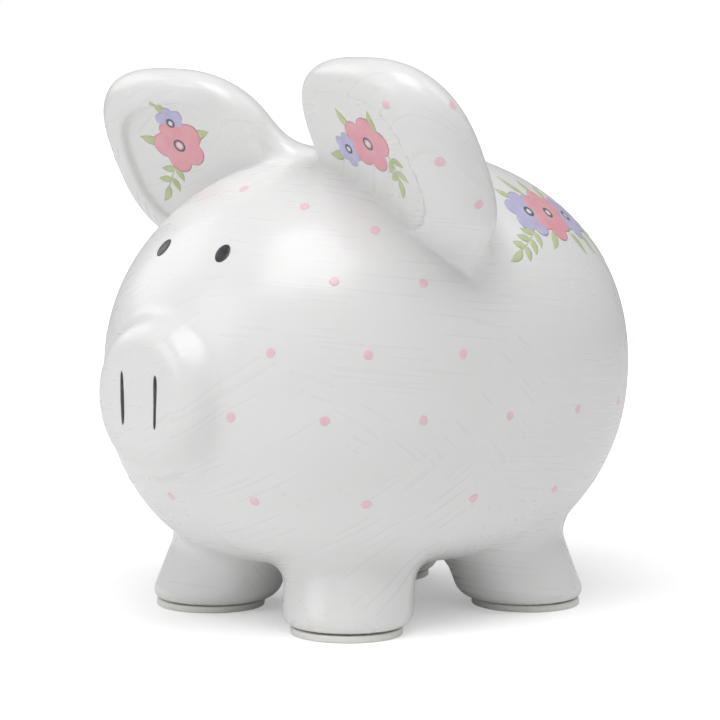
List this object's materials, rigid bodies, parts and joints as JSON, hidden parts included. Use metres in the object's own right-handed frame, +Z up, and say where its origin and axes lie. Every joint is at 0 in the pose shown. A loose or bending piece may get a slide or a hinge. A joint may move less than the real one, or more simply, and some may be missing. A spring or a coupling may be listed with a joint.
{
  "type": "piggy bank",
  "caption": "White glazed ceramic piggy bank: round hollow casting on stub legs, wide dished ears, disc snout, coin slot in the back and a pull-out rubber belly stopper.",
  "frame": {"origin": "middle of the footprint on the surface that the bank stands on", "axes": "+Z up, snout towards -Y, the pig's own left side towards +X"},
  "size_m": [0.1673, 0.2024, 0.1866],
  "materials": {
    "white_glaze": "hand-brushed white under a satin gloss glaze",
    "foot_pad": "matte white",
    "stopper_rubber": "translucent off-white, satin"
  },
  "bodies": {
    "bank": {"body_casting": "white_glaze", "left_ear": "white_glaze", "right_ear": "white_glaze", "tail": "white_glaze", "foot_pad_front_left": "foot_pad", "foot_pad_front_right": "foot_pad", "foot_pad_rear_left": "foot_pad", "foot_pad_rear_right": "foot_pad"},
    "stopper": {"belly_stopper": "stopper_rubber"}
  },
  "joints": [
    {"name": "stopper_pull", "type": "slide", "parent": "bank", "child": "stopper", "axis": [0, 0, -1], "range_m": [0, 0.011]}
  ]
}
